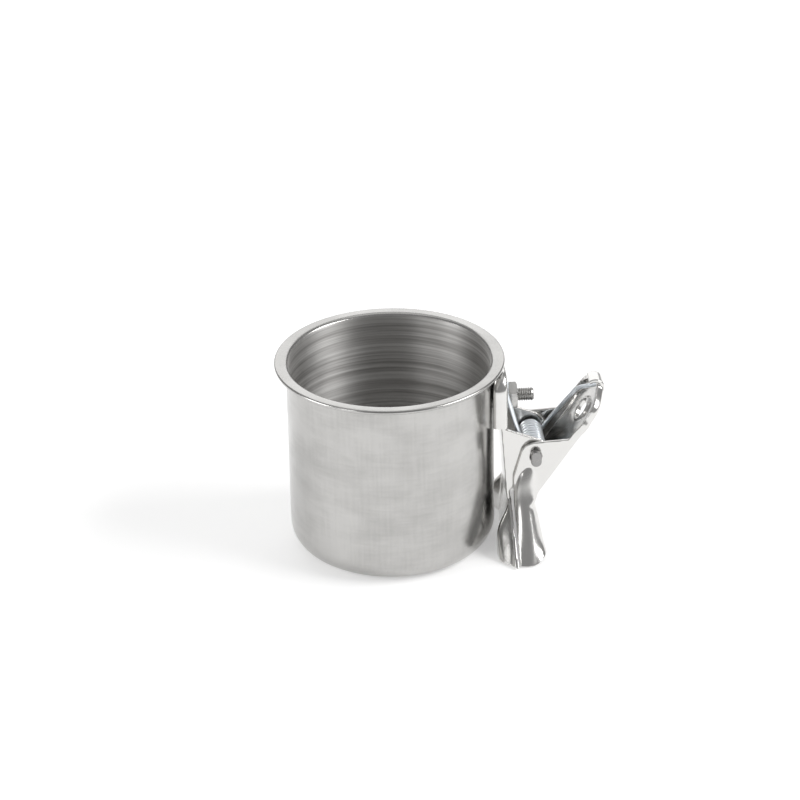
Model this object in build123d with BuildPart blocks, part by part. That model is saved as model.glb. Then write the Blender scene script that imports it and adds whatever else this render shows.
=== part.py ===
from build123d import *
import math
import os

# Steel seed cup with a sprung clip, in millimetres.
# The origin is the centre of the cup's base, +Z is up and +X points to the clip.

# Cup
cup_height = 44.0
cup_wall = 0.6
base_corner = 5.2
rim_diameter = 50.2
rim_reach = 3.1
rim_edge = 0.9
rim_roll = 1.6

# Screw, washer and nut
screw_height = 33.7
thread_diameter = 3.0
thread_pitch = 0.5
thread_depth = 0.28
screw_length = 9.6
head_diameter = 5.6
head_height = 2.0
slot_width = 0.8
slot_depth = 1.0
hole_clearance = 0.2
washer_diameter = 6.2
washer_thickness = 0.8
washer_split = 0.6
washer_split_turn = 45.0
nut_flats = 5.5
nut_thickness = 2.4
nut_chamfer = 0.35
thread_clearance = 0.06
seat_clearance = 0.03

# Clip sheet, common to both halves
sheet = 0.8
ear_clearance = 0.3
bend_radius = 1.0
ring_bore = 4.6
ring_wall = 0.6
waist_height = 11.5
jaw_clearance = 0.3
jaw_gap = 0.3

# Pivot pin and spring
pin_reach = 6.72
pin_height = 22.3
pin_diameter = 2.2
pin_clearance = 0.1
stake_width = 2.3
stake_length = 3.9
stake_thickness = 1.3
stake_edge = 0.35
wire = 0.95
coil_diameter = 5.3
coil_turns = 7
coil_gap = 0.5
wire_seat = 0.05

# Fixed half
pad_height = 1.05
plate_top = 41.0
plate_corner = 4.0
plate_bend_height = 30.0
plate_lean = 3.7
plate_ear_top = 28.9
plate_ear_bottom = 13.3
plate_ear_radius = 3.6
plate_waist_bow = 0.25
plate_jaw_hollow = 0.9
plate_jaw_reach = 1.7
plate_jaw_half_width = 18.8

# Moving half
lever_lean = 34.5
lever_waist_set = 0.3
lever_ear_radius = 3.4
lever_ear_top = 25.6
tab_hole_height = 29.0
tab_length = 28.9
tab_shoulder = 22.5
tab_half_width = 6.0
tab_corner = 3.0
tab_flange = 1.3
tab_ring_height = 0.5
hook_radius = 1.3
hook_turn = 150.0
hook_end = 0.6
hook_width = 4.4
lever_jaw_flare = 2.2
lever_jaw_half_width = 17.5
lever_waist_corner = 2.2
lever_jaw_corner = 4.6
wing_top = 19.6
wing_radius = 2.8

# Spring legs
leg_bend_height = 36.8
leg_tip_run = 2.6
leg_bend_radius = 4.0
tab_leg_run = 4.0
tab_leg_reach = 10.2
tab_leg_bend_height = 33.0
tab_leg_bend_side = 3.2
tab_leg_radius = 2.4
tab_leg_side = 0.6

# Worked out from the sizes above
cup_bore = rim_diameter - 2 * rim_reach
cup_radius = cup_bore / 2 + cup_wall
coil_radius = (coil_diameter - wire) / 2
pitch = wire + coil_gap
plate_x = cup_radius + seat_clearance + pad_height
plate_face = plate_x + sheet
pin_x = plate_face + pin_reach
lever_waist_x = pin_x - lever_waist_set
plate_waist_x = plate_x + (plate_bend_height - waist_height) * math.tan(math.radians(plate_lean))
ring_diameter = ring_bore + 2 * ring_wall
lever_rise = Vector(math.sin(math.radians(lever_lean)), 0, math.cos(math.radians(lever_lean)))
lever_out = Vector(lever_rise.Z, 0, -lever_rise.X)
lever_plane = Plane(origin=(lever_waist_x, 0, waist_height), x_dir=(0, 1, 0), z_dir=lever_out)
hook_start = tab_length - hook_radius
ear_rise = (lever_ear_top - waist_height) / lever_rise.Z
tab_hole = (tab_hole_height - waist_height) / lever_rise.Z
plate_jaw_x = plate_waist_x - plate_jaw_hollow
plate_jaw_end_x = plate_jaw_x + plate_jaw_reach
plate_waist_end_x = plate_waist_x + plate_waist_bow
lever_waist_tip_x = plate_waist_end_x + sheet + jaw_gap
lever_jaw_tip_x = plate_jaw_end_x + sheet + jaw_gap
lever_jaw_x = lever_waist_x + lever_jaw_flare
screw_axis = Plane(origin=(0, 0, screw_height), x_dir=(0, 1, 0), z_dir=(1, 0, 0))


def lever_point(along, depth):
    """X and Z of a point on the lever's middle line, at a depth inside its outer face."""
    point = lever_plane.origin + lever_rise * along - lever_out * depth
    return point.X, point.Z


# Directions of the two spring legs, each a tangent to the coil from the bend in the leg
leg_x = plate_face + wire / 2 + wire_seat
leg_tip_height = leg_bend_height + leg_tip_run
tab_leg_bend_x = pin_x + tab_leg_reach
leg_bearing = math.atan2(leg_bend_height - pin_height, leg_x - pin_x)
leg_reach = math.hypot(leg_bend_height - pin_height, leg_x - pin_x)
coil_start = leg_bearing + math.acos(coil_radius / leg_reach)
tab_bearing = math.atan2(tab_leg_bend_height - pin_height, tab_leg_bend_x - pin_x)
tab_reach = math.hypot(tab_leg_bend_height - pin_height, tab_leg_bend_x - pin_x)
coil_finish = tab_bearing - math.acos(coil_radius / tab_reach) + 2 * math.pi * (coil_turns + 1)
coil_length = (coil_finish - coil_start) / (2 * math.pi) * pitch
plate_half_width = coil_length / 2 + wire / 2 + ear_clearance + sheet
lever_half_width = plate_half_width + ear_clearance + sheet

os.makedirs("parts", exist_ok=True)

# Cup: one drawn shell, turned out flat at the rim, with the screw's hole on the clip's side
with BuildPart() as cup:
    with BuildSketch(Plane.XZ):
        with BuildLine():
            corner_x = cup_radius - base_corner
            edge_x = rim_diameter / 2 - rim_edge / 2
            roll_x = cup_bore / 2 + rim_roll
            Line((0, 0), (corner_x, 0))
            CenterArc((corner_x, base_corner), base_corner, -90, 90)
            Line((cup_radius, base_corner), (cup_radius, cup_height - rim_roll))
            CenterArc((roll_x, cup_height - rim_roll), rim_roll - cup_wall, 90, 90)
            Line((roll_x, cup_height - cup_wall), (edge_x, cup_height - rim_edge))
            CenterArc((edge_x, cup_height - rim_edge / 2), rim_edge / 2, -90, 180)
            Line((edge_x, cup_height), (roll_x, cup_height))
            CenterArc((roll_x, cup_height - rim_roll), rim_roll, 90, 90)
            Line((cup_bore / 2, cup_height - rim_roll), (cup_bore / 2, base_corner))
            CenterArc((corner_x, base_corner), base_corner - cup_wall, -90, 90)
            Line((corner_x, cup_wall), (0, cup_wall))
            Line((0, cup_wall), (0, 0))
        make_face()
    revolve(axis=Axis.Z)
    with BuildSketch(screw_axis):
        Circle(thread_diameter / 2 + hole_clearance)
    extrude(amount=cup_radius + cup_wall, mode=Mode.SUBTRACT)
cup.part.label = "cup"


def bowed_section(height, middle_x, end_x, half_width):
    """A bowed strip of sheet in plan: the section of the fixed jaw at one height."""
    with BuildSketch(Plane.XY.offset(height)) as strip:
        with BuildLine():
            ThreePointArc((end_x, -half_width), (middle_x, 0), (end_x, half_width))
            Line((end_x, half_width), (end_x + sheet, half_width))
            ThreePointArc((end_x + sheet, half_width), (middle_x + sheet, 0), (end_x + sheet, -half_width))
            Line((end_x + sheet, -half_width), (end_x, -half_width))
        make_face()
    return strip.sketch


# Fixed half: handle and channel web, two ears, a jaw that hollows towards the cup, and a pressed pad
with BuildPart() as clip_back_plate:
    with BuildSketch(Plane.XZ):
        with BuildLine():
            Polyline(
                (plate_x, plate_top),
                (plate_x, plate_bend_height),
                (plate_waist_x, waist_height),
                (plate_waist_x + sheet, waist_height),
                (plate_face, plate_bend_height),
                (plate_face, plate_top),
                close=True,
            )
        make_face()
    extrude(amount=plate_half_width, both=True)
    fillet(clip_back_plate.edges().filter_by(Axis.X).group_by(Axis.Z)[-1], plate_corner)
    with BuildSketch(Plane.XZ.offset(plate_half_width - sheet)):
        with BuildLine():
            Line((plate_face, plate_ear_top), (plate_waist_x + sheet / 2, plate_ear_bottom))
            CenterArc((pin_x, pin_height), plate_ear_radius, 0, 360)
        make_hull()
    extrude(amount=sheet)
    mirror(about=Plane.XZ)
    plate_jaw_waist = bowed_section(waist_height, plate_waist_x, plate_waist_end_x, plate_half_width)
    plate_jaw_foot = bowed_section(jaw_clearance, plate_jaw_x, plate_jaw_end_x, plate_jaw_half_width)
    loft([plate_jaw_waist, plate_jaw_foot], ruled=True)
    with BuildSketch(screw_axis.offset(plate_x - pad_height)):
        Circle(ring_diameter / 2)
    extrude(amount=pad_height)
    with BuildSketch(screw_axis.offset(plate_x - pad_height)):
        Circle(ring_bore / 2)
    extrude(amount=pad_height + sheet, mode=Mode.SUBTRACT)
    with BuildSketch(Plane.XZ):
        with Locations((pin_x, pin_height)):
            Circle(pin_diameter / 2 + pin_clearance)
    extrude(amount=plate_half_width, both=True, mode=Mode.SUBTRACT)
clip_back_plate.part.label = "clip_back_plate"


def channel_section(height, tip_x, web_x, half_width, corner):
    """A channel of sheet in plan with round corners: the section of the moving jaw at one height."""
    flank = half_width - sheet
    bend_x = web_x - corner
    bend_y = half_width - corner
    with BuildSketch(Plane.XY.offset(height)) as channel:
        with BuildLine():
            Line((tip_x, -half_width), (bend_x, -half_width))
            CenterArc((bend_x, -bend_y), corner, -90, 90)
            Line((web_x, -bend_y), (web_x, bend_y))
            CenterArc((bend_x, bend_y), corner, 0, 90)
            Polyline((bend_x, half_width), (tip_x, half_width), (tip_x, flank), (bend_x, flank))
            CenterArc((bend_x, bend_y), corner - sheet, 90, -90)
            Line((web_x - sheet, bend_y), (web_x - sheet, -bend_y))
            CenterArc((bend_x, -bend_y), corner - sheet, 0, -90)
            Polyline((bend_x, -flank), (tip_x, -flank), (tip_x, -half_width))
        make_face()
    return channel.sketch


def tongue(plane, inset, foot):
    """The outline of the lever's web and tab on a plane, from a foot up to the round tip."""
    side = lever_half_width - inset
    shoulder = tab_half_width - inset
    with BuildSketch(plane) as outline:
        with BuildLine():
            Polyline((-shoulder, tab_shoulder), (-side, ear_rise), (-side, foot))
            Line((-side, foot), (side, foot))
            Polyline((side, foot), (side, ear_rise), (shoulder, tab_shoulder))
            ThreePointArc((shoulder, tab_shoulder), (0, tab_length - inset), (-shoulder, tab_shoulder))
        make_face()
        fillet(outline.vertices().sort_by(Axis.Y)[2:], tab_corner)
    return outline.sketch


# Moving half: a shallow stamped tray for the tab, two winged ears, a flared jaw and a curled hook at the tip
with BuildPart() as thumb_lever:
    extrude(tongue(lever_plane, 0, -sheet), amount=-(sheet + tab_flange))
    outer_face = thumb_lever.faces().sort_by(Axis(lever_plane.origin, lever_out))[-1]
    fillet(outer_face.edges().sort_by(Axis.Z)[1:], bend_radius)
    tray_plane = lever_plane.offset(-sheet)
    tray_foot = -sheet - tab_flange
    extrude(tongue(tray_plane, sheet, tray_foot), amount=-(tab_flange + sheet), mode=Mode.SUBTRACT)
    with BuildSketch(tray_plane):
        with Locations((0, tab_hole)):
            Circle(ring_diameter / 2)
    extrude(amount=-tab_ring_height)
    with BuildSketch(lever_plane):
        with Locations((0, tab_hole)):
            Circle(ring_bore / 2)
    extrude(amount=-(sheet + tab_ring_height), mode=Mode.SUBTRACT)
    with BuildSketch(Plane.XZ.offset(lever_half_width - sheet)):
        with BuildLine():
            Line(lever_point(bend_radius, bend_radius), lever_point(ear_rise, bend_radius))
            CenterArc((pin_x, pin_height), lever_ear_radius, 0, 360)
        make_hull()
        with BuildLine():
            Line((lever_waist_tip_x, waist_height), (lever_waist_x - lever_waist_corner, waist_height))
            CenterArc((lever_waist_tip_x + wing_radius, wing_top - wing_radius), wing_radius, 0, 360)
        make_hull()
    extrude(amount=sheet)
    mirror(about=Plane.XZ)
    with BuildSketch(Plane.XZ):
        with BuildLine():
            run_up = Line(lever_point(tab_shoulder, 0), lever_point(hook_start, 0))
            curl = JernArc(run_up @ 1, run_up % 1, hook_radius + sheet, hook_turn)
            Line(curl @ 1, curl @ 1 + (curl % 1) * hook_end)
            offset(amount=sheet, side=Side.LEFT)
        make_face()
    extrude(amount=hook_width / 2, both=True)
    lever_jaw_waist = channel_section(
        waist_height, lever_waist_tip_x, lever_waist_x, lever_half_width, lever_waist_corner
    )
    lever_jaw_foot = channel_section(
        jaw_clearance, lever_jaw_tip_x, lever_jaw_x, lever_jaw_half_width, lever_jaw_corner
    )
    loft([lever_jaw_waist, lever_jaw_foot], ruled=True)
    with BuildSketch(Plane.XZ):
        with Locations((pin_x, pin_height)):
            Circle(pin_diameter / 2 + pin_clearance)
    extrude(amount=lever_half_width, both=True, mode=Mode.SUBTRACT)
thumb_lever.part.label = "thumb_lever"

# Pivot pin: a plain rod through the four ears, with both ends staked wide
with BuildPart() as pivot_pin:
    with BuildSketch(Plane.XZ):
        with Locations((pin_x, pin_height)):
            Circle(pin_diameter / 2)
    extrude(amount=lever_half_width + pin_clearance, both=True)
    with BuildSketch(Plane.XZ.offset(lever_half_width + pin_clearance)):
        with Locations((pin_x, pin_height)):
            SlotOverall(stake_length, stake_width, rotation=90)
    extrude(amount=stake_thickness)
    fillet(pivot_pin.faces().sort_by(Axis.Y)[0].edges(), stake_edge)
    mirror(about=Plane.XZ)
pivot_pin.part.label = "pivot_pin"


def coil_point(angle):
    """A point on the middle of the coil's wire, and the wire's direction there."""
    side = (angle - (coil_start + coil_finish) / 2) / (2 * math.pi) * pitch
    point = Vector(pin_x + coil_radius * math.cos(angle), side, pin_height + coil_radius * math.sin(angle))
    heading = Vector(-math.sin(angle) * coil_radius, pitch / (2 * math.pi), math.cos(angle) * coil_radius)
    return point, heading.normalized()


def biarc(start, start_heading, finish, finish_heading):
    """Two arcs that meet smoothly and leave and arrive along the given headings."""
    span = finish - start
    total = start_heading + finish_heading
    spread = 2 * (1 - start_heading.dot(finish_heading))
    along = span.dot(total)
    reach = (math.sqrt(along**2 + spread * span.dot(span)) - along) / spread
    first = start + start_heading * reach
    last = finish - finish_heading * reach
    middle = (first + last) * 0.5
    TangentArc(start, middle, tangent=start_heading)
    TangentArc(middle, finish, tangent=last - first)


def bend(before, corner, after, radius):
    """Where an arc of a given radius leaves and meets the two runs at a corner."""
    arrive = (corner - before).normalized()
    leave = (after - corner).normalized()
    setback = radius * math.tan(math.radians(arrive.get_angle(leave)) / 2)
    return corner - arrive * setback, arrive, corner + leave * setback


# Torsion spring: a leg up the plate, the coil on the pin, and a leg up to the hook on the tab
plate_leg_side = coil_point(coil_start)[0].Y
plate_leg_tip = Vector(leg_x, plate_leg_side, leg_tip_height)
plate_leg_corner = Vector(leg_x, plate_leg_side, leg_bend_height)
tab_leg_corner = Vector(tab_leg_bend_x, tab_leg_bend_side, tab_leg_bend_height)
hook_seat = lever_point(hook_start, sheet + wire / 2 + wire_seat)
tab_leg_tip = Vector(hook_seat[0], tab_leg_side, hook_seat[1])
coil_first = coil_point(coil_start)[0]
coil_last = coil_point(coil_finish)[0]
tab_leg_heading = Vector(tab_leg_bend_x - coil_last.X, 0, tab_leg_bend_height - coil_last.Z).normalized()
tab_leg_slant = coil_last + tab_leg_heading * tab_leg_run
quarters = 4 * (coil_turns + 1)
with BuildPart() as torsion_spring:
    with BuildLine() as spring_path:
        bend_from, bend_heading, bend_to = bend(
            plate_leg_tip, plate_leg_corner, coil_first, leg_bend_radius
        )
        Line(plate_leg_tip, bend_from)
        TangentArc(bend_from, bend_to, tangent=bend_heading)
        Line(bend_to, coil_first)
        quarter = (coil_finish - coil_start) / quarters
        stations = [coil_point(coil_start + quarter * n) for n in range(quarters + 1)]
        stations[0] = (coil_first, (coil_first - plate_leg_corner).normalized())
        stations[-1] = (coil_last, tab_leg_heading)
        for here, there in zip(stations, stations[1:]):
            biarc(*here, *there)
        slant_from, slant_heading, slant_to = bend(
            coil_last, tab_leg_slant, tab_leg_corner, leg_bend_radius
        )
        Line(coil_last, slant_from)
        TangentArc(slant_from, slant_to, tangent=slant_heading)
        bend_from, bend_heading, bend_to = bend(
            tab_leg_slant, tab_leg_corner, tab_leg_tip, tab_leg_radius
        )
        Line(slant_to, bend_from)
        TangentArc(bend_from, bend_to, tangent=bend_heading)
        Line(bend_to, tab_leg_tip)
    with BuildSketch(Plane(origin=plate_leg_tip, z_dir=(0, 0, -1))):
        Circle(wire / 2)
    sweep(path=spring_path.wires()[0])
torsion_spring.part.label = "torsion_spring"

# Clamp screw: a slotted pan head inside the cup and a threaded shank with ring grooves
head_seat = math.sqrt((cup_bore / 2) ** 2 - (head_diameter / 2) ** 2) - seat_clearance
thread_count = int((screw_length - thread_pitch) / thread_pitch)
with BuildPart() as clamp_screw:
    with BuildSketch(screw_axis.offset(head_seat - head_height)):
        Circle(head_diameter / 2)
    extrude(amount=head_height)
    fillet(clamp_screw.faces().sort_by(Axis.X)[0].edges(), head_height / 2)
    with BuildSketch(screw_axis.offset(head_seat - head_height)):
        Rectangle(head_diameter, slot_width)
    extrude(amount=slot_depth, mode=Mode.SUBTRACT)
    with BuildSketch(Plane.XZ):
        with BuildLine():
            crest = screw_height + thread_diameter / 2
            root = crest - thread_depth
            teeth = [(head_seat, screw_height), (head_seat, root)]
            for n in range(thread_count):
                groove = head_seat + screw_length - (thread_count - n) * thread_pitch - thread_pitch / 2
                teeth += [(groove, root), (groove + thread_pitch / 2, crest)]
            teeth += [(head_seat + screw_length, root), (head_seat + screw_length, screw_height)]
            Polyline(*teeth, close=True)
        make_face()
    revolve(axis=Axis((0, 0, screw_height), (1, 0, 0)))
clamp_screw.part.label = "clamp_screw"

# Lock washer: a flat split ring between the plate and the nut
bolt_bore = thread_diameter / 2 + thread_clearance
washer_seat = plate_face + seat_clearance
with BuildPart() as lock_washer:
    with BuildSketch(screw_axis.offset(washer_seat)):
        Circle(washer_diameter / 2)
        Circle(bolt_bore + hole_clearance, mode=Mode.SUBTRACT)
        with PolarLocations(washer_diameter / 2, 1, start_angle=180 + washer_split_turn):
            Rectangle(washer_diameter, washer_split, mode=Mode.SUBTRACT)
    extrude(amount=washer_thickness)
lock_washer.part.label = "lock_washer"

# Nut: a hexagon with a corner upwards, chamfered round on its outer side
nut_seat = washer_seat + washer_thickness + seat_clearance
with BuildPart() as hex_nut:
    with BuildSketch(screw_axis.offset(nut_seat)):
        RegularPolygon(nut_flats / 2, 6, major_radius=False, rotation=30)
        Circle(bolt_bore, mode=Mode.SUBTRACT)
    extrude(amount=nut_thickness)
    with BuildSketch(Plane.XZ):
        with BuildLine():
            corner_radius = nut_flats / math.sqrt(3)
            face_x = nut_seat + nut_thickness
            Polyline(
                (nut_seat, screw_height + bolt_bore / 2),
                (nut_seat, screw_height + corner_radius),
                (face_x - nut_chamfer, screw_height + corner_radius),
                (face_x, screw_height + nut_flats / 2),
                (face_x, screw_height + bolt_bore / 2),
                close=True,
            )
        make_face()
    revolve(axis=Axis((0, 0, screw_height), (1, 0, 0)), mode=Mode.INTERSECT)
hex_nut.part.label = "hex_nut"


def least_gap(path):
    """The least clear gap between turns of the wire, from points a sixth of a wire apart along its middle."""
    steps = int(path.length / (wire / 6))
    points = [path.position_at(n / steps) for n in range(steps + 1)]
    skip = int(math.pi * coil_radius / (path.length / steps))
    gaps = [
        (points[i] - points[j]).length
        for i in range(len(points))
        for j in range(i + skip, len(points))
    ]
    return min(gaps) - wire


spring_wire = spring_path.wires()[0]
print(f"spring: least gap {least_gap(spring_wire):.3f} mm, wire {spring_wire.length:.1f} mm long")
pieces = (cup, clip_back_plate, thumb_lever, pivot_pin, torsion_spring, clamp_screw, lock_washer, hex_nut)
for piece in pieces:
    export_step(piece.part, f"parts/{piece.part.label}.step")
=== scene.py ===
"""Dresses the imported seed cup: a drawn steel cup with a sprung clip bolted to its side."""

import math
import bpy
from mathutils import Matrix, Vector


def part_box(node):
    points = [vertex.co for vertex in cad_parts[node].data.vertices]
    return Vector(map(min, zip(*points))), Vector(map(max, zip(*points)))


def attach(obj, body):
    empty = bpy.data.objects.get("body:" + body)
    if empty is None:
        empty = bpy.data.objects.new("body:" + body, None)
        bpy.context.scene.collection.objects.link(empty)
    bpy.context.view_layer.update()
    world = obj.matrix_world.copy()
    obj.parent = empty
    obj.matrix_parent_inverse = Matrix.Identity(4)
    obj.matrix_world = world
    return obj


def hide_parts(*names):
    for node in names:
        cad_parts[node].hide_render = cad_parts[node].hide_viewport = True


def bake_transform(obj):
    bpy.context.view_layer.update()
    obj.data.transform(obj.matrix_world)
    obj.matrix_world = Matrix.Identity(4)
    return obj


bl_info = {
    "name": "Seed cup with a sprung clip",
    "version": (1, 0, 0),
    "blender": (4, 5, 0),
    "location": "View3D > Sidebar > Seed cup",
    "description": "Builds the steel cup, its clip, spring and fasteners round the packed parts",
    "category": "Object",
}

import bmesh
import bpy
from bpy.props import FloatProperty, FloatVectorProperty, IntProperty, PointerProperty
from mathutils import Matrix, Vector, noise

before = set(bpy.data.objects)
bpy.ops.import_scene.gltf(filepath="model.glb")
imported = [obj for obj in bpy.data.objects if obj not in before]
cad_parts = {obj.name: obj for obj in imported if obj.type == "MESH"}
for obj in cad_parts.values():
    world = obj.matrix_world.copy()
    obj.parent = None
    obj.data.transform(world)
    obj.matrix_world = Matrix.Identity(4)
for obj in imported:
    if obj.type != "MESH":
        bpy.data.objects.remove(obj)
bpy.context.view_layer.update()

MM = 0.001
CUP_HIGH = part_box("cup")[1]
SPRING_LOW, SPRING_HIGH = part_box("torsion_spring")
SPRING_WIRE = 0.95 * MM


def linear(hex_colour):
    """The linear colour of an sRGB hex value such as C8C6C3."""
    channels = [int(hex_colour[i:i + 2], 16) / 255 for i in (0, 2, 4)]
    return [c / 12.92 if c <= 0.04045 else ((c + 0.055) / 1.055) ** 2.4 for c in channels]


class CupSizes(bpy.types.PropertyGroup):
    """Sizes of the drawn cup."""

    height: FloatProperty(
        name="Height", description="From the base to the rim's top",
        default=CUP_HIGH.z, unit="LENGTH",
    )
    rim_radius: FloatProperty(
        name="Rim radius", description="To the rim's outer edge",
        default=CUP_HIGH.x, unit="LENGTH",
    )
    bore_radius: FloatProperty(
        name="Bore radius", description="Inside of the wall",
        default=22.0 * MM, unit="LENGTH",
    )
    wall: FloatProperty(
        name="Wall", description="Thickness of the drawn sheet",
        default=0.6 * MM, unit="LENGTH",
    )
    base_corner: FloatProperty(
        name="Base corner", description="Outside radius round the base",
        default=5.2 * MM, unit="LENGTH",
    )
    rim_roll: FloatProperty(
        name="Rim roll", description="Radius from the wall out to the rim",
        default=1.1 * MM, unit="LENGTH",
    )
    rim_edge: FloatProperty(
        name="Rim edge", description="Thickness of the rim's edge",
        default=0.9 * MM, unit="LENGTH",
    )
    ring_depth: FloatProperty(
        name="Ring depth", description="Depth of the drawing rings inside",
        default=0.03 * MM, unit="LENGTH",
    )
    hole_height: FloatProperty(
        name="Hole height", description="Height of the screw's hole",
        default=33.7 * MM, unit="LENGTH",
    )
    hole_radius: FloatProperty(
        name="Hole radius", description="Radius of the screw's hole",
        default=1.7 * MM, unit="LENGTH",
    )
    segments: IntProperty(name="Segments", description="Faces round the cup", default=224, min=32)
    colour: FloatVectorProperty(
        name="Steel", description="Colour of the cup's buffed steel",
        default=linear("BDBCBA"), subtype="COLOR",
    )
    smear_colour: FloatVectorProperty(
        name="Smears", description="Colour of the steel where it was handled",
        default=linear("A9A8A6"), subtype="COLOR",
    )
    # Painted light: the inside's steel is coloured lighter than the outside's, to stand in for the light
    # that bounces round inside the cup.
    inside_painted_light_colour: FloatVectorProperty(
        name="Inside", description="Colour of the steel inside, painted lighter than the outside to stand in for light bounced round inside the cup",
        default=linear("E0DFDD"), subtype="COLOR",
    )
    ring_colour: FloatVectorProperty(
        name="Rings", description="Colour in the dark of the rings inside",
        default=linear("ABA9A7"), subtype="COLOR",
    )


class ClipSizes(bpy.types.PropertyGroup):
    """Shape and finish of the two pressed halves of the clip and of what joins them."""

    edge_round: FloatProperty(
        name="Edge round", description="Rounding of the cut edges",
        default=0.12 * MM, unit="LENGTH",
    )
    grain: FloatProperty(
        name="Grain", description="Face size of the pressed sheet",
        default=0.2 * MM, unit="LENGTH",
    )
    smoothing: IntProperty(
        name="Smoothing", description="Passes that round the sheet's edges",
        default=6, min=0,
    )
    waist_smoothing: IntProperty(
        name="Waist smoothing", description="Passes that take the fold's notch out of the wings",
        default=40, min=0,
    )
    waist: FloatProperty(
        name="Waist", description="Height of the lever's waist",
        default=11.5 * MM, unit="LENGTH",
    )
    lean: FloatProperty(
        name="Lean", description="Lean of the lever away from upright",
        default=math.radians(34.5), subtype="ANGLE",
    )
    foot: FloatProperty(
        name="Foot", description="Distance of the lever's waist from the cup's axis",
        default=30.9 * MM, unit="LENGTH",
    )
    ear_side: FloatProperty(
        name="Ear side", description="Inside of the lever's ears",
        default=7.1 * MM, unit="LENGTH",
    )
    wing_top: FloatProperty(
        name="Wing top", description="Top of the flared wing",
        default=19.6 * MM, unit="LENGTH",
    )
    wing_left: FloatProperty(
        name="Wing left", description="The wing's free edge",
        default=26.0 * MM, unit="LENGTH",
    )
    wing_right: FloatProperty(
        name="Wing right", description="Fold between wing and ear",
        default=31.7 * MM, unit="LENGTH",
    )
    wing_peak: FloatProperty(
        name="Wing peak", description="Where the wing's top comes to a point",
        default=29.9 * MM, unit="LENGTH",
    )
    wing_flare: FloatProperty(
        name="Wing flare", description="How the fold leans below the waist",
        default=0.2,
    )
    wing_swell: FloatProperty(
        name="Wing swell", description="How far the wing swells out",
        default=1.6 * MM, unit="LENGTH",
    )
    jaw_slope: FloatProperty(
        name="Jaw slope", description="How the jaw's side flares as it goes down",
        default=0.847,
    )
    kink: FloatProperty(
        name="Kink", description="How softly the side turns at the waist",
        default=2.2 * MM, unit="LENGTH",
    )
    foot_lift: FloatProperty(
        name="Foot lift", description="How far the lever jaw's outer corner is rounded up",
        default=1.2 * MM, unit="LENGTH",
    )
    jaw_bow: FloatProperty(
        name="Jaw bow", description="How far the plate jaw's wings hollow towards the cup",
        default=2.6 * MM, unit="LENGTH",
    )
    tab_spread: FloatProperty(
        name="Tab spread", description="How far the thumb tab's sides bulge",
        default=2.3 * MM, unit="LENGTH",
    )
    hem: FloatProperty(
        name="Hem", description="Radius of the rolled hem round the fixed handle",
        default=0.75 * MM, unit="LENGTH",
    )
    plate_colour: FloatVectorProperty(
        name="Plating", description="Colour of the bright plating",
        default=linear("DAD9D7"), subtype="COLOR",
    )
    pin_colour: FloatVectorProperty(
        name="Pin", description="Colour of the staked pin",
        default=linear("9A9998"), subtype="COLOR",
    )
    fastener_colour: FloatVectorProperty(
        name="Fasteners", description="Colour of the screw, washer and nut",
        default=linear("BDBCBA"), subtype="COLOR",
    )


class SpringSizes(bpy.types.PropertyGroup):
    """Sizes of the torsion spring."""

    wire: FloatProperty(
        name="Wire", description="Diameter of the wire",
        default=SPRING_WIRE, unit="LENGTH",
    )
    coil: FloatProperty(
        name="Coil", description="Outside diameter of the coil",
        default=5.3 * MM, unit="LENGTH",
    )
    span: FloatProperty(
        name="Span", description="Length of the coil from leg to leg",
        default=SPRING_HIGH.y - SPRING_LOW.y - SPRING_WIRE, unit="LENGTH",
    )
    turns: IntProperty(name="Turns", description="Whole turns of the coil", default=9, min=1)
    colour: FloatVectorProperty(
        name="Zinc", description="Colour of the blue-white zinc",
        default=linear("F1F6FB"), subtype="COLOR",
    )


class StageSettings(bpy.types.PropertyGroup):
    """Floor, light and camera."""

    azimuth: FloatProperty(
        name="Azimuth", description="Camera's turn about the cup",
        default=math.radians(-3.0), subtype="ANGLE",
    )
    elevation: FloatProperty(
        name="Elevation", description="Camera's height angle",
        default=math.radians(28.52), subtype="ANGLE",
    )
    distance: FloatProperty(
        name="Distance", description="Camera to the cup's middle",
        default=725.6 * MM, unit="LENGTH",
    )
    lens: FloatProperty(name="Lens", description="Focal length on a 36 mm sensor", default=148.0)
    roll: FloatProperty(
        name="Roll", description="Camera's lean to one side",
        default=-0.0207, subtype="ANGLE",
    )
    room_light: FloatProperty(name="Room light", description="Strength of the even light", default=0.30)
    floor_colour: FloatVectorProperty(
        name="Floor", description="Colour of the floor",
        default=linear("F7F7F7"), subtype="COLOR",
    )
    floor_glow: FloatProperty(
        name="Floor glow", description="Light from under the white floor",
        default=0.32,
    )


def add_node(tree, kind, inputs=None, **settings):
    """Adds one node, sets its own settings, and fills or links its inputs."""
    node = tree.nodes.new(kind)
    for name, value in settings.items():
        setattr(node, name, value)
    for key, value in (inputs or {}).items():
        if isinstance(value, bpy.types.NodeSocket):
            tree.links.new(value, node.inputs[key])
        else:
            node.inputs[key].default_value = value
    return node


def start_metal(name, colour):
    """A bare metal material and its tree and shader, to which a finish adds its pattern."""
    material = bpy.data.materials.new(name)
    material.use_nodes = True
    tree = material.node_tree
    shader = tree.nodes["Principled BSDF"]
    shader.inputs["Metallic"].default_value = 1.0
    shader.inputs["Base Color"].default_value = (*colour, 1.0)
    return material, tree, shader


def per_mm(x, y, z):
    """Texture scales for a pattern whose grains are x, y and z millimetres across."""
    return (1 / (x * MM), 1 / (y * MM), 1 / (z * MM))


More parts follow.
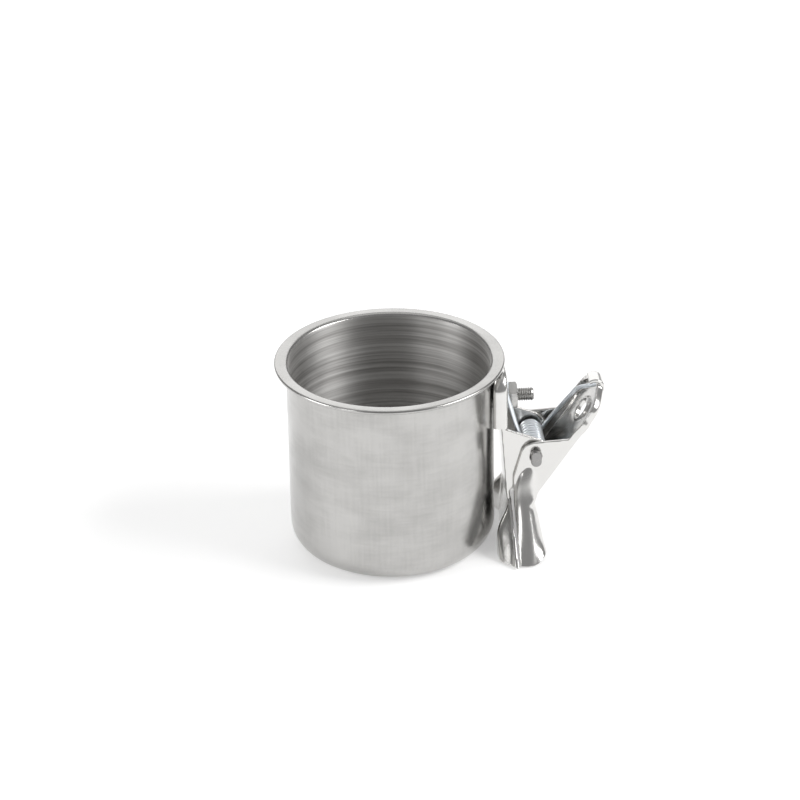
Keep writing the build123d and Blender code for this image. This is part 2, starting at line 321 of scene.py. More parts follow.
def satin_drawn_stainless(sizes):
    """Drawn and buffed stainless: a soft grey mirror, hazed in level smears where it was handled.

    The buffing lines are finer than a picture shows, so they are drawn about ten times as wide.
    """
    material, tree, shader = start_metal("stainless_steel_drawn_buffed", sizes.colour)
    wall = add_node(tree, "ShaderNodeTexCoord").outputs["Object"]
    place = add_node(tree, "ShaderNodeMapping", {"Vector": wall, "Scale": per_mm(11, 11, 6)})
    smears = add_node(tree, "ShaderNodeTexNoise", {"Vector": place.outputs[0], "Scale": 1, "Detail": 6})
    place = add_node(tree, "ShaderNodeMapping", {"Vector": wall, "Scale": per_mm(6, 6, 0.4)})
    lines = add_node(tree, "ShaderNodeTexNoise", {"Vector": place.outputs[0], "Scale": 1, "Detail": 3})
    place = add_node(tree, "ShaderNodeMapping", {"Vector": wall, "Scale": per_mm(0.5, 0.5, 9)})
    uprights = add_node(tree, "ShaderNodeTexNoise", {"Vector": place.outputs[0], "Scale": 1, "Detail": 3})
    marks = add_node(tree, "ShaderNodeMath", {0: lines.outputs[0], 1: uprights.outputs[0]}, operation="ADD")
    patches = add_node(tree, "ShaderNodeMapRange", {
        "Value": smears.outputs[0], "From Min": 0.35, "From Max": 0.65, "To Min": -0.3, "To Max": 0.3,
    })
    haze = add_node(tree, "ShaderNodeMath", {
        0: marks.outputs[0], 1: 0.7, 2: patches.outputs[0],
    }, operation="MULTIPLY_ADD")
    tone = add_node(tree, "ShaderNodeMix", {
        0: haze.outputs[0], 6: (*sizes.smear_colour, 1), 7: (*sizes.colour, 1),
    }, data_type="RGBA")
    tree.links.new(tone.outputs[2], shader.inputs["Base Color"])
    gloss = add_node(tree, "ShaderNodeMapRange", {
        "Value": smears.outputs[0], "From Min": 0.3, "From Max": 0.7, "To Min": 0.25, "To Max": 0.19,
    })
    tree.links.new(gloss.outputs[0], shader.inputs["Roughness"])
    relief = add_node(tree, "ShaderNodeBump", {
        "Height": marks.outputs[0], "Strength": 0.08, "Distance": 0.02 * MM,
    })
    tree.links.new(relief.outputs[0], shader.inputs["Normal"])
    return material


def ringed_drawn_stainless(sizes):
    """The cup's inside as the punch left it.

    Its level rings spread the light up and down the wall in streaks.
    """
    # Painted light: the inside's base colour is lighter than the outside's steel, standing in for light
    # bounced round inside the cup; the rings mixed into it below are real marks.
    material, tree, shader = start_metal("stainless_steel_drawn_ringed", sizes.inside_painted_light_colour)
    wall = add_node(tree, "ShaderNodeTexCoord").outputs["Object"]
    place = add_node(tree, "ShaderNodeMapping", {"Vector": wall, "Scale": per_mm(150, 150, 1.7)})
    rings = add_node(tree, "ShaderNodeTexNoise", {"Vector": place.outputs[0], "Scale": 1, "Detail": 2})
    place = add_node(tree, "ShaderNodeMapping", {"Vector": wall, "Scale": per_mm(30, 30, 0.5)})
    lines = add_node(tree, "ShaderNodeTexNoise", {"Vector": place.outputs[0], "Scale": 1, "Detail": 3})
    marks = add_node(tree, "ShaderNodeMath", {0: rings.outputs[0], 1: lines.outputs[0]}, operation="ADD")
    bright = add_node(tree, "ShaderNodeMapRange", {
        "Value": marks.outputs[0], "From Min": 0.75, "From Max": 1.25,
    })
    tone = add_node(tree, "ShaderNodeMix", {
        0: bright.outputs[0], 6: (*sizes.ring_colour, 1), 7: (*sizes.inside_painted_light_colour, 1),
    }, data_type="RGBA")
    tree.links.new(tone.outputs[2], shader.inputs["Base Color"])
    place = add_node(tree, "ShaderNodeMapping", {"Vector": wall, "Scale": per_mm(9, 9, 5)})
    smudges = add_node(tree, "ShaderNodeTexNoise", {"Vector": place.outputs[0], "Scale": 1, "Detail": 4})
    gloss = add_node(tree, "ShaderNodeMapRange", {
        "Value": smudges.outputs[0], "From Min": 0.3, "From Max": 0.7, "To Min": 0.48, "To Max": 0.62,
    })
    tree.links.new(gloss.outputs[0], shader.inputs["Roughness"])
    shader.inputs["Anisotropic"].default_value = 0.85
    shader.inputs["Anisotropic Rotation"].default_value = 0.25
    around = add_node(tree, "ShaderNodeTangent", direction_type="RADIAL", axis="Z")
    tree.links.new(around.outputs[0], shader.inputs["Tangent"])
    relief = add_node(tree, "ShaderNodeBump", {
        "Height": marks.outputs[0], "Strength": 0.4, "Distance": 0.06 * MM,
    })
    tree.links.new(relief.outputs[0], shader.inputs["Normal"])
    return material


def bright_plated_steel(sizes):
    """Nickel on pressed steel: a bright mirror.

    The press left it slightly wavy, and it is duller where it was rubbed.
    """
    material, tree, shader = start_metal("nickel_plated_pressed_steel", sizes.plate_colour)
    sheet = add_node(tree, "ShaderNodeTexCoord").outputs["Object"]
    place = add_node(tree, "ShaderNodeMapping", {"Vector": sheet, "Scale": per_mm(6, 6, 9)})
    waves = add_node(tree, "ShaderNodeTexNoise", {"Vector": place.outputs[0], "Scale": 1, "Detail": 1})
    place = add_node(tree, "ShaderNodeMapping", {"Vector": sheet, "Scale": per_mm(3, 3, 4.5)})
    rubs = add_node(tree, "ShaderNodeTexNoise", {"Vector": place.outputs[0], "Scale": 1, "Detail": 5})
    gloss = add_node(tree, "ShaderNodeMapRange", {
        "Value": rubs.outputs[0], "From Min": 0.3, "From Max": 0.7, "To Min": 0.15, "To Max": 0.25,
    })
    tree.links.new(gloss.outputs[0], shader.inputs["Roughness"])
    relief = add_node(tree, "ShaderNodeBump", {
        "Height": waves.outputs[0], "Strength": 0.09, "Distance": 0.4 * MM,
    })
    tree.links.new(relief.outputs[0], shader.inputs["Normal"])
    return material


def staked_plain_steel(sizes):
    """Bare cold-headed steel: dark grey, with the blurred gloss of a hammered end."""
    material, tree, shader = start_metal("plain_steel_cold_headed", sizes.pin_colour)
    bar = add_node(tree, "ShaderNodeTexCoord").outputs["Object"]
    place = add_node(tree, "ShaderNodeMapping", {"Vector": bar, "Scale": per_mm(0.7, 0.7, 0.7)})
    dents = add_node(tree, "ShaderNodeTexNoise", {"Vector": place.outputs[0], "Scale": 1, "Detail": 3})
    gloss = add_node(tree, "ShaderNodeMapRange", {
        "Value": dents.outputs[0], "From Min": 0.3, "From Max": 0.7, "To Min": 0.22, "To Max": 0.42,
    })
    tree.links.new(gloss.outputs[0], shader.inputs["Roughness"])
    relief = add_node(tree, "ShaderNodeBump", {
        "Height": dents.outputs[0], "Strength": 0.3, "Distance": 0.1 * MM,
    })
    tree.links.new(relief.outputs[0], shader.inputs["Normal"])
    return material


def zinc_plated_fastener(sizes):
    """Zinc on machine-made steel: pale grey, with a dull bloom in small patches."""
    material, tree, shader = start_metal("zinc_plated_machined_steel", sizes.fastener_colour)
    bar = add_node(tree, "ShaderNodeTexCoord").outputs["Object"]
    place = add_node(tree, "ShaderNodeMapping", {"Vector": bar, "Scale": per_mm(0.9, 0.9, 0.9)})
    bloom = add_node(tree, "ShaderNodeTexNoise", {"Vector": place.outputs[0], "Scale": 1, "Detail": 4})
    gloss = add_node(tree, "ShaderNodeMapRange", {
        "Value": bloom.outputs[0], "From Min": 0.3, "From Max": 0.7, "To Min": 0.22, "To Max": 0.4,
    })
    tree.links.new(gloss.outputs[0], shader.inputs["Roughness"])
    return material


def blue_zinc_wire(sizes):
    """Drawn spring wire in blue-white zinc: pale, cool and glossy, with a faint bloom along the wire."""
    material, tree, shader = start_metal("spring_steel_blue_zinc", sizes.colour)
    wire = add_node(tree, "ShaderNodeTexCoord").outputs["Object"]
    place = add_node(tree, "ShaderNodeMapping", {"Vector": wire, "Scale": per_mm(0.6, 0.6, 0.6)})
    bloom = add_node(tree, "ShaderNodeTexNoise", {"Vector": place.outputs[0], "Scale": 1, "Detail": 4})
    gloss = add_node(tree, "ShaderNodeMapRange", {
        "Value": bloom.outputs[0], "From Min": 0.3, "From Max": 0.7, "To Min": 0.25, "To Max": 0.42,
    })
    tree.links.new(gloss.outputs[0], shader.inputs["Roughness"])
    return material


def pale_floor(settings):
    """Matt paper sweep: near white, with no gloss."""
    material = bpy.data.materials.new("matt_paper_floor")
    material.use_nodes = True
    shader = material.node_tree.nodes["Principled BSDF"]
    shader.inputs["Base Color"].default_value = (*settings.floor_colour, 1.0)
    shader.inputs["Roughness"].default_value = 0.9
    shader.inputs["Specular IOR Level"].default_value = 0.1
    shader.inputs["Emission Color"].default_value = (1, 1, 1, 1)
    shader.inputs["Emission Strength"].default_value = settings.floor_glow
    return material


def link_mesh(name, mesh, *materials):
    """Puts a mesh in the scene as a new piece with its materials."""
    piece = bpy.data.objects.new(name, mesh)
    bpy.context.scene.collection.objects.link(piece)
    if mesh.materials:
        mesh.materials.clear()
    for material in materials:
        mesh.materials.append(material)
    return piece


def arc_points(centre, radius, start, finish, count):
    """Points on an arc in the plane of a profile, with angles in degrees."""
    angles = [math.radians(start + (finish - start) * n / count) for n in range(count + 1)]
    return [(centre[0] + radius * math.cos(a), centre[1] + radius * math.sin(a)) for a in angles]


# The pitch of the punch's rings, and the noise that makes them uneven
RING_PITCH = 1.3 * MM
RING_START = (0.3, 0.7)
RING_FALL = 0.9
RING_STEP = 2.0
RING_OCTAVES = 3


def ring_ripple(height, depth):
    """How far the punch's rings move the inner wall at a height."""
    place = Vector((*RING_START, height / RING_PITCH))
    return depth * noise.fractal(place, RING_FALL, RING_STEP, RING_OCTAVES)


# How many faces each stretch of the cup's section has
BASE_STEPS = 6
CORNER_STEPS = 14
WALL_STEPS = 24
FLARE_STEPS = 8
EDGE_STEPS = 10
ROLL_STEPS = 6
RING_ROWS = 110
RING_FADE_ROWS = 8


def cup_profile(sizes):
    """The cup's section as closed points of radius and height, with the first inner point's index."""
    outer = sizes.bore_radius + sizes.wall
    corner = (outer - sizes.base_corner, sizes.base_corner)
    roll = (sizes.bore_radius + sizes.rim_roll, sizes.height - sizes.rim_roll)
    edge = (sizes.rim_radius - sizes.rim_edge / 2, sizes.height - sizes.rim_edge / 2)
    wall_height = roll[1] - sizes.base_corner
    points = [(corner[0] * n / BASE_STEPS, 0) for n in range(1, BASE_STEPS)]
    points += arc_points(corner, sizes.base_corner, -90, 0, CORNER_STEPS)
    for n in range(1, WALL_STEPS):
        points.append((outer, sizes.base_corner + wall_height * n / WALL_STEPS))
    points += arc_points(roll, sizes.rim_roll - sizes.wall, 180, 90, FLARE_STEPS)
    points += arc_points(edge, sizes.rim_edge / 2, -90, 90, EDGE_STEPS)
    points += arc_points(roll, sizes.rim_roll, 90, 135, ROLL_STEPS)
    inner_start = len(points)
    points += arc_points(roll, sizes.rim_roll, 135, 180, ROLL_STEPS)[1:]
    for n in range(1, RING_ROWS):
        height = roll[1] - wall_height * n / RING_ROWS
        fade = min(1, n / RING_FADE_ROWS, (RING_ROWS - n) / RING_FADE_ROWS)
        points.append((sizes.bore_radius + fade * ring_ripple(height, sizes.ring_depth), height))
    points += arc_points(corner, sizes.base_corner - sizes.wall, 0, -90, CORNER_STEPS)
    points += [(corner[0] * n / BASE_STEPS, sizes.wall) for n in range(BASE_STEPS - 1, 0, -1)]
    return points, inner_start


def finished_mesh(drawn):
    """An object's mesh as its modifiers or its bevel leave it."""
    bpy.context.view_layer.update()
    graph = bpy.context.evaluated_depsgraph_get()
    return bpy.data.meshes.new_from_object(drawn.evaluated_get(graph))


# The drill for the screw's hole, whose length is counted in walls
DRILL_SEGMENTS = 48
DRILL_WALLS = 8


def drill_screw_hole(piece, sizes):
    """Cuts the clamp screw's clearance hole through the wall on the clip's side."""
    shape = bmesh.new()
    outwards = Matrix.Rotation(math.pi / 2, 4, "Y")
    place = Matrix.Translation((sizes.bore_radius, 0, sizes.hole_height)) @ outwards
    bmesh.ops.create_cone(
        shape, cap_ends=True, segments=DRILL_SEGMENTS,
        radius1=sizes.hole_radius, radius2=sizes.hole_radius,
        depth=DRILL_WALLS * sizes.wall, matrix=place,
    )
    mesh = bpy.data.meshes.new("drill")
    shape.to_mesh(mesh)
    shape.free()
    drill = link_mesh("drill", mesh)
    cut = piece.modifiers.new("screw_hole", "BOOLEAN")
    cut.operation = "DIFFERENCE"
    cut.object = drill
    drilled = finished_mesh(piece)
    piece.modifiers.clear()
    piece.data = drilled
    bpy.data.objects.remove(drill)


class SEEDCUP_OT_cup(bpy.types.Operator):
    """Turns the drawn cup from its section"""

    bl_idname = "seedcup.cup"
    bl_label = "Cup"

    def execute(self, context):
        sizes = context.scene.seedcup_cup
        points, inner_start = cup_profile(sizes)
        turn = [2 * math.pi * n / sizes.segments for n in range(sizes.segments)]
        shape = bmesh.new()
        rows = []
        for radius, height in points:
            ring = [(radius * math.cos(a), radius * math.sin(a), height) for a in turn]
            rows.append([shape.verts.new(place) for place in ring])
        for n, (low, high) in enumerate(zip(rows, rows[1:])):
            for k in range(sizes.segments):
                after = (k + 1) % sizes.segments
                face = shape.faces.new((low[k], low[after], high[after], high[k]))
                face.material_index = 1 if n >= inner_start else 0
        for row, height, slot in ((rows[0], 0, 0), (rows[-1], sizes.wall, 1)):
            middle = shape.verts.new((0, 0, height))
            for k in range(sizes.segments):
                corners = [row[k], row[(k + 1) % sizes.segments], middle]
                shape.faces.new(corners).material_index = slot
        bmesh.ops.recalc_face_normals(shape, faces=shape.faces)
        for face in shape.faces:
            face.smooth = True
        mesh = bpy.data.meshes.new("cup_shell")
        shape.to_mesh(mesh)
        shape.free()
        piece = link_mesh("cup_shell", mesh, satin_drawn_stainless(sizes), ringed_drawn_stainless(sizes))
        drill_screw_hole(piece, sizes)
        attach(piece, "cup_body")
        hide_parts("cup")
        return {"FINISHED"}


# Corners this near are one, and faces this flat are one
JOIN_DISTANCE = 0.001 * MM
FLAT_ANGLE = math.radians(0.4)
# Edges sharper than this are rounded
SHARP_ANGLE = math.radians(32)
ROUND_STEPS = 2
# The rounding of the pin and of the fasteners, in shares of the clip's edge round
PIN_ROUND = 0.5
FASTENER_ROUND = 0.25


def pressed_copy(node, name, edge_round, material):
    """A copy of a solid's mesh with its sharp edges rounded, which then stands for the solid."""
    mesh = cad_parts[node].data.copy()
    mesh.name = name
    shape = bmesh.new()
    shape.from_mesh(mesh)
    bmesh.ops.remove_doubles(shape, verts=shape.verts, dist=JOIN_DISTANCE)
    bmesh.ops.dissolve_limit(shape, angle_limit=FLAT_ANGLE, verts=shape.verts, edges=shape.edges)
    for face in shape.faces:
        face.smooth = True
    shape.to_mesh(mesh)
    shape.free()
    piece = link_mesh(name, mesh, material)
    rounding = piece.modifiers.new("sheared_edges", "BEVEL")
    rounding.width = edge_round
    rounding.segments = ROUND_STEPS
    rounding.limit_method = "ANGLE"
    rounding.angle_limit = SHARP_ANGLE
    rounding.harden_normals = True
    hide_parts(node)
    return piece


def even_mesh(source, grain):
    """A mesh of even faces that lies on a solid's surface."""
    exact = bpy.data.objects.new("exact", source.data)
    draft = bpy.data.objects.new("draft", source.data.copy())
    for drawn in (exact, draft):
        bpy.context.scene.collection.objects.link(drawn)
    join = draft.modifiers.new("join", "WELD")
    join.merge_threshold = JOIN_DISTANCE
    remesh = draft.modifiers.new("even", "REMESH")
    remesh.mode = "VOXEL"
    remesh.voxel_size = grain
    wrap = draft.modifiers.new("wrap", "SHRINKWRAP")
    wrap.target = exact
    mesh = finished_mesh(draft)
    for drawn in (exact, draft):
        bpy.data.objects.remove(drawn)
    mesh.shade_smooth()
    return mesh


def ease(value, low, high):
    """Goes smoothly from 0 at low to 1 at high."""
    t = min(max((value - low) / (high - low), 0), 1)
    return t * t * (3 - 2 * t)


# How far each pass moves a corner towards the middle of its neighbours
SMOOTH_FACTOR = 0.5


def soften(piece, name, passes):
    """Adds smoothing passes to a sheet's mesh."""
    smooth = piece.modifiers.new(name, "SMOOTH")
    smooth.factor = SMOOTH_FACTOR
    smooth.iterations = passes
    return smooth


# How the leaf on the lever's wing rises and fades again, in shares of its height
LEAF_RISE = 0.18
LEAF_FADE = 0.6
LEAF_FADE_SPAN = (0.5, 1)
# How it meets its fold, in shares of its half width, and how full its crown is
LEAF_EDGE = (0, 0.3)
LEAF_CROWN = 2.6
# At its point it still has this half width, which the shares need
LEAF_LEAST_HALF = 0.01 * MM


def wing_swell(x, z, sizes):
    """How far the lever's wing swells sideways.

    The wing is a leaf that starts at a point under the pin and widens downwards.
    """
    depth = (sizes.wing_top - z) / sizes.wing_top
    if depth <= 0:
        return 0
    over = z - sizes.waist
    soft = sizes.kink * math.log1p(math.exp(-over / sizes.kink))
    right = sizes.wing_right + soft * sizes.wing_flare
    over_waist = max(0, over) / (sizes.wing_top - sizes.waist)
    narrow = math.sqrt(1 - over_waist ** 2)
    half = max((right - sizes.wing_left) / 2 * narrow, LEAF_LEAST_HALF)
    middle = (right + sizes.wing_left) / 2 * narrow + sizes.wing_peak * (1 - narrow)
    across = (x - middle) / half
    if across >= 1:
        return 0
    ridge = 1 - min(abs(across), 1) ** LEAF_CROWN
    kink = sizes.jaw_slope * (soft - max(0, -over))
    rise = 1 - math.exp(-depth / LEAF_RISE)
    swell = sizes.wing_swell * rise * (1 - LEAF_FADE * ease(depth, *LEAF_FADE_SPAN))
    return ease(1 - across, *LEAF_EDGE) * kink + swell * ridge


# Where the thumb tab's sides start to bulge and where they are full
TAB_ALONG = (16.5 * MM, 21.5 * MM)
TAB_ACROSS = (2.6 * MM, 5.8 * MM)
# Where the lever jaw's outer corner starts to round up and where it is round
CORNER_X = (30 * MM, 33 * MM)
CORNER_Y = (8 * MM, 15 * MM)
CORNER_Z = (0, 6 * MM)


def shape_lever(point, sizes):
    """Moves a point of the lever's sheet.

    This gives the leaf-shaped wings, the jaw's round corners and the tab's full sides.
    """
    side = abs(point.y)
    rise = Vector((math.sin(sizes.lean), 0, math.cos(sizes.lean)))
    along = (point - Vector((sizes.foot, 0, sizes.waist))).dot(rise)
    spread = sizes.tab_spread * ease(along, *TAB_ALONG) * ease(side, *TAB_ACROSS)
    if side > sizes.ear_side:
        spread += wing_swell(point.x, point.z, sizes)
    lift = ease(point.x, *CORNER_X) * ease(side, *CORNER_Y) * (1 - ease(point.z, *CORNER_Z))
    point.y += math.copysign(spread, point.y)
    point.z += sizes.foot_lift * lift


# The notch beside the lever's waist. Each pair says where its smoothing starts to change and where it stops
NOTCH_INSET = 0.3 * MM
NOTCH_HEIGHT = (1.2 * MM, 3.2 * MM)
NOTCH_BACK = (28.2 * MM, 29.2 * MM)
NOTCH_FRONT = (30.9 * MM, 31.6 * MM)


def waist_weight(point, sizes):
    """How far a point of the lever lies in the notch that the fold leaves beside the waist."""
    if abs(point.y) < sizes.ear_side - NOTCH_INSET:
        return 0
    level = 1 - ease(abs(point.z - sizes.waist), *NOTCH_HEIGHT)
    return level * ease(point.x, *NOTCH_BACK) * (1 - ease(point.x, *NOTCH_FRONT))


def smooth_waist(piece, sizes):
    """Runs the lever's wing through the waist in one sweep, as the press does."""
    group = piece.vertex_groups.new(name="waist")
    for vertex in piece.data.vertices:
        weight = waist_weight(vertex.co, sizes)
        if weight > 0:
            group.add([vertex.index], weight, "REPLACE")
    soften(piece, "swept_waist", sizes.waist_smoothing).vertex_group = group.name


# The plate's half width at its waist and at the jaw's foot
PLATE_WAIST = 6.9 * MM
PLATE_JAW = 18.8 * MM
# The hollow of the jaw's wings, in shares of their width and height
HOLLOW_START = (0, 0.5)
HOLLOW_END = (0.65, 1.02)
HOLLOW_DEPTH = (0, 0.6)


def shape_plate(point, sizes):
    """Moves a point of the plate's sheet.

    Each wing of the jaw hollows back and curls forward again at its end.
    """
    depth = 1 - point.z / sizes.waist
    if depth > 0:
        width = PLATE_WAIST + (PLATE_JAW - PLATE_WAIST) * depth
        across = (abs(point.y) - PLATE_WAIST) / (width - PLATE_WAIST)
        hollow = ease(across, *HOLLOW_START) * (1 - ease(across, *HOLLOW_END))
        point.x -= sizes.jaw_bow * ease(depth, *HOLLOW_DEPTH) * hollow


# How finely a bar's round section is drawn
BAR_STEPS = 5


def tube_mesh(name, route, radius):
    """A round bar that follows a run of points."""
    curve = bpy.data.curves.new(name, "CURVE")
    curve.dimensions = "3D"
    curve.bevel_depth = radius
    curve.bevel_resolution = BAR_STEPS
    curve.use_fill_caps = True
    line = curve.splines.new("POLY")
    line.points.add(len(route) - 1)
    for point, place in zip(line.points, route):
        point.co = (*place, 1)
    drawn = bpy.data.objects.new(name, curve)
    bpy.context.scene.collection.objects.link(drawn)
    mesh = finished_mesh(drawn)
    bpy.data.objects.remove(drawn)
    mesh.name = name
    mesh.shade_smooth()
    return mesh


# The fixed handle that the hem goes round
HANDLE_FRONT = 25.2 * MM
HANDLE_BACK = 22.95 * MM
HANDLE_FOOT = 29.0 * MM
HANDLE_SIDE = 6.5 * MM
HANDLE_TOP = 40.6 * MM
HANDLE_CORNER = 3.6 * MM
HEM_CORNER_STEPS = 10


def handle_hem(sizes):
    """The hem that is rolled round the fixed handle's two sides and top.

    It reaches back as far as the gap to the cup lets it.
    """
    reach = HANDLE_SIDE - HANDLE_CORNER
    arc = arc_points((reach, HANDLE_TOP - HANDLE_CORNER), HANDLE_CORNER, 0, 90, HEM_CORNER_STEPS)
    half = [(HANDLE_SIDE, HANDLE_FOOT), *arc]
    route = [Vector((0, y, z)) for y, z in half] + [Vector((0, -y, z)) for y, z in reversed(half)]
    mesh = tube_mesh("plate_hem", route, sizes.hem)
    for vertex in mesh.vertices:
        back = math.sqrt(HANDLE_BACK ** 2 - vertex.co.y ** 2)
        vertex.co.x = back + (HANDLE_FRONT - back) * (1 + vertex.co.x / sizes.hem) / 2
    return mesh


class SEEDCUP_OT_clip(bpy.types.Operator):
    """Makes the two pressed halves of the clip and the hem of the fixed one"""

    bl_idname = "seedcup.clip"
    bl_label = "Clip halves"

    def execute(self, context):
        sizes = context.scene.seedcup_clip
        plated = bright_plated_steel(sizes)
        for node, name, body, shape in (
            ("clip_back_plate", "clip_plate", "cup_body", shape_plate),
            ("thumb_lever", "clip_lever", "lever", shape_lever),
        ):
            mesh = even_mesh(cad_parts[node], sizes.grain)
            for vertex in mesh.vertices:
                shape(vertex.co, sizes)
            piece = link_mesh(name, mesh, plated)
            soften(piece, "tumbled_edges", sizes.smoothing)
            if body == "lever":
                smooth_waist(piece, sizes)
            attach(piece, body)
            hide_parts(node)
        hem = link_mesh("plate_hem", handle_hem(sizes), plated)
        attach(hem, "cup_body")
        return {"FINISHED"}


class SEEDCUP_OT_pin(bpy.types.Operator):
    """Makes the staked pivot pin"""

    bl_idname = "seedcup.pin"
    bl_label = "Pivot pin"

    def execute(self, context):
        sizes = context.scene.seedcup_clip
        steel = staked_plain_steel(sizes)
        piece = pressed_copy("pivot_pin", "staked_pin", sizes.edge_round * PIN_ROUND, steel)
        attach(piece, "cup_body")
        return {"FINISHED"}


class SEEDCUP_OT_fasteners(bpy.types.Operator):
    """Makes the screw, lock washer and nut"""

    bl_idname = "seedcup.fasteners"
    bl_label = "Fasteners"

    def execute(self, context):
        sizes = context.scene.seedcup_clip
        zinc = zinc_plated_fastener(sizes)
        for node, name in (("clamp_screw", "screw"), ("lock_washer", "washer"), ("hex_nut", "nut")):
            piece = pressed_copy(node, name, sizes.edge_round * FASTENER_ROUND, zinc)
            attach(piece, "cup_body")
        return {"FINISHED"}


# The spring's wire passes these places, and its coil sits on the pin
PIN = Vector((31.2, 0, 22.3)) * MM
PLATE_LEG_BEND = Vector((25.005, 0, 36.8)) * MM
PLATE_LEG_TIP = 39.4 * MM
TAB_LEG_RUN = 4.0 * MM
TAB_LEG_BEND = Vector((41.4, 3.2, 33.0)) * MM
TAB_LEG_TIP = Vector((45.44, 0.6, 35.0)) * MM
PLATE_LEG_ROUND = 0.7 * MM
TAB_LEG_ROUND = 1.1 * MM
BEND_STEPS = 8
TURN_STEPS = 36


def rounded(points, radius):
    """A run of points with each corner turned into a smooth bend that starts a radius away."""
    route = [points[0]]
    for before, corner, after in zip(points, points[1:], points[2:]):
        start = corner + (before - corner).normalized() * radius
        finish = corner + (after - corner).normalized() * radius
        for n in range(BEND_STEPS + 1):
            t = n / BEND_STEPS
            route.append(start * (1 - t) ** 2 + corner * 2 * t * (1 - t) + finish * t ** 2)
    return route + [points[-1]]


def spring_route(sizes):
    """Points along the middle of the wire: a leg up the plate, the coil, and a leg up to the tab's hook."""
    radius = (sizes.coil - sizes.wire) / 2
    low, high = PLATE_LEG_BEND - PIN, TAB_LEG_BEND - PIN
    start = math.atan2(low.z, low.x) + math.acos(radius / math.hypot(low.x, low.z))
    finish = math.atan2(high.z, high.x) - math.acos(radius / math.hypot(high.x, high.z))
    finish += 2 * math.pi * (sizes.turns + 1)
    coil = []
    steps = TURN_STEPS * (sizes.turns + 1)
    for n in range(steps + 1):
        angle = start + (finish - start) * n / steps
        side = (n / steps - 0.5) * sizes.span
        coil.append(PIN + Vector((radius * math.cos(angle), side, radius * math.sin(angle))))
    plate_side = Vector((0, coil[0].y, 0))
    tip = Vector((PLATE_LEG_BEND.x, 0, PLATE_LEG_TIP)) + plate_side
    plate_leg = rounded([tip, PLATE_LEG_BEND + plate_side, coil[0]], PLATE_LEG_ROUND)
    heading = Vector((TAB_LEG_BEND.x - coil[-1].x, 0, TAB_LEG_BEND.z - coil[-1].z)).normalized()
    slant = coil[-1] + heading * TAB_LEG_RUN
    tab_leg = rounded([coil[-1], slant, TAB_LEG_BEND, TAB_LEG_TIP], TAB_LEG_ROUND)
    return plate_leg[:-1] + coil + tab_leg[1:]


class SEEDCUP_OT_spring(bpy.types.Operator):
    """Winds the torsion spring on the pin"""

    bl_idname = "seedcup.spring"
    bl_label = "Torsion spring"

    def execute(self, context):
        sizes = context.scene.seedcup_spring
        mesh = tube_mesh("spring", spring_route(sizes), sizes.wire / 2)
        piece = link_mesh("spring", mesh, blue_zinc_wire(sizes))
        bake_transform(piece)
        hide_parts("torsion_spring")
        return {"FINISHED"}


# Each softbox's place, width and height in metres, and its power in watts
SOFTBOXES = {
    "right_softbox": ((0.88, -0.22, 0.71), 0.7, 0.45, 7.6),
    "left_softbox": ((-1.0, -0.2, 0.42), 0.5, 0.6, 3.6),
    "front_softbox": ((-0.72, -0.7, 0.52), 0.3, 0.5, 1.2),
    "back_softbox": ((0.0, 1.2, 0.65), 1.6, 0.8, 4.7),
    "top_softbox": ((0.0, 0.3, 1.2), 1.0, 1.0, 1.6),
}
# The point that they face
LIT_POINT = Vector((10, 0, 20)) * MM
# Half the floor's side in metres
FLOOR_HALF = 3.0
FLOOR_CORNERS = [(x * FLOOR_HALF, y * FLOOR_HALF, 0) for x, y in ((-1, -1), (1, -1), (1, 1), (-1, 1))]
# The camera's distance is counted from the pivot, and it looks at the aim
CAMERA_PIVOT = Vector((0, 0, 19.95)) * MM
CAMERA_AIM = Vector((2.15, 5.8, 30.65)) * MM
CAMERA_NEAR = 10 * MM


def add_softbox(name, place, width, height, power):
    """Adds a rectangular soft light that faces the cup."""
    lamp = bpy.data.lights.new(name, "AREA")
    lamp.shape = "RECTANGLE"
    lamp.size = width
    lamp.size_y = height
    lamp.energy = power
    light = bpy.data.objects.new(name, lamp)
    light.location = place
    light.rotation_euler = (LIT_POINT - Vector(place)).to_track_quat("-Z", "Y").to_euler()
    bpy.context.scene.collection.objects.link(light)


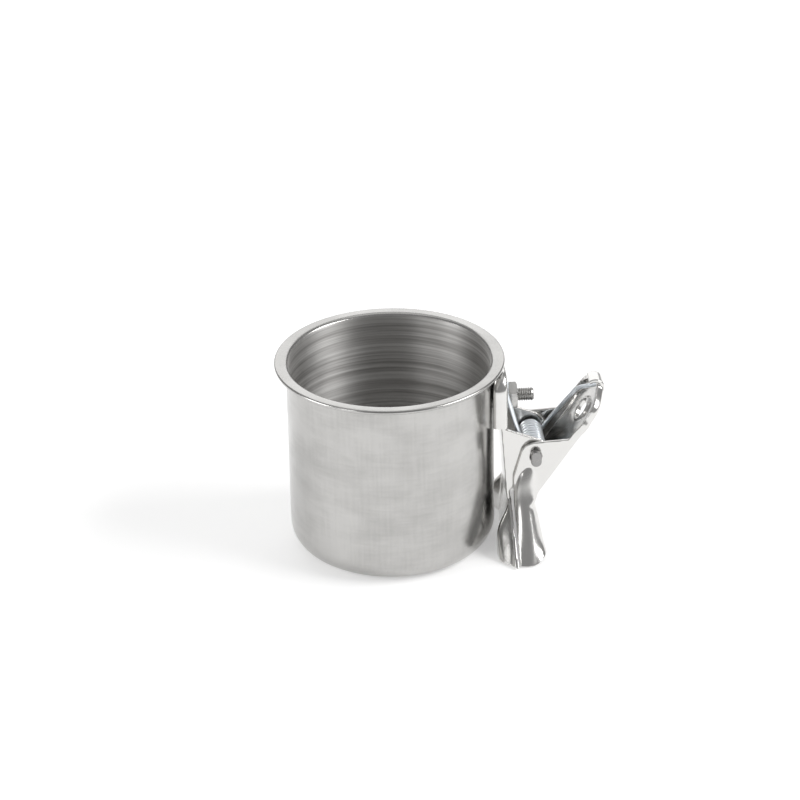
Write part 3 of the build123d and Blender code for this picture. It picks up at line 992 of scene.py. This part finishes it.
class SEEDCUP_OT_stage(bpy.types.Operator):
    """Lays the floor and sets the light and the camera"""

    bl_idname = "seedcup.stage"
    bl_label = "Stage"

    def execute(self, context):
        settings = context.scene.seedcup_stage
        scene = context.scene
        scene.view_settings.view_transform = "Standard"
        mesh = bpy.data.meshes.new("floor")
        mesh.from_pydata(FLOOR_CORNERS, [], [(0, 1, 2, 3)])
        floor = link_mesh("floor", mesh, pale_floor(settings))

        world = bpy.data.worlds.new("studio")
        world.use_nodes = True
        background = world.node_tree.nodes["Background"]
        background.inputs["Color"].default_value = (1, 1, 1, 1)
        background.inputs["Strength"].default_value = settings.room_light
        scene.world = world
        for name, softbox in SOFTBOXES.items():
            add_softbox(name, *softbox)

        turn = Matrix.Rotation(settings.azimuth, 3, "Z")
        away = Vector((0, -math.cos(settings.elevation), math.sin(settings.elevation)))
        place = turn @ (CAMERA_PIVOT + away * settings.distance)
        lens = bpy.data.cameras.new("camera")
        lens.lens = settings.lens
        lens.clip_start = CAMERA_NEAR
        camera = bpy.data.objects.new("camera", lens)
        camera.location = place
        facing = (turn @ CAMERA_AIM - place).to_track_quat("-Z", "Y").to_matrix()
        camera.rotation_euler = (facing @ Matrix.Rotation(settings.roll, 3, "Z")).to_euler()
        scene.collection.objects.link(camera)
        scene.camera = camera
        return {"FINISHED"}


class SEEDCUP_PT_panel(bpy.types.Panel):
    """Lists the pieces of the seed cup"""

    bl_label = "Seed cup"
    bl_idname = "SEEDCUP_PT_panel"
    bl_space_type = "VIEW_3D"
    bl_region_type = "UI"
    bl_category = "Seed cup"

    def draw(self, context):
        for operator in OPERATORS:
            self.layout.operator(operator.bl_idname)


OPERATORS = (
    SEEDCUP_OT_cup,
    SEEDCUP_OT_clip,
    SEEDCUP_OT_pin,
    SEEDCUP_OT_spring,
    SEEDCUP_OT_fasteners,
    SEEDCUP_OT_stage,
)
GROUPS = {
    "seedcup_cup": CupSizes,
    "seedcup_clip": ClipSizes,
    "seedcup_spring": SpringSizes,
    "seedcup_stage": StageSettings,
}
CLASSES = (*GROUPS.values(), *OPERATORS, SEEDCUP_PT_panel)


def register():
    """Registers the classes and hangs the settings on the scene."""
    for cls in CLASSES:
        bpy.utils.register_class(cls)
    for name, group in GROUPS.items():
        setattr(bpy.types.Scene, name, PointerProperty(type=group))


def unregister():
    """Takes the settings and classes away again."""
    for name in GROUPS:
        delattr(bpy.types.Scene, name)
    for cls in reversed(CLASSES):
        bpy.utils.unregister_class(cls)


def main():
    """Builds every piece."""
    register()
    bpy.ops.seedcup.cup()
    bpy.ops.seedcup.clip()
    bpy.ops.seedcup.pin()
    bpy.ops.seedcup.spring()
    bpy.ops.seedcup.fasteners()
    bpy.ops.seedcup.stage()


if __name__ == "__main__":
    main()
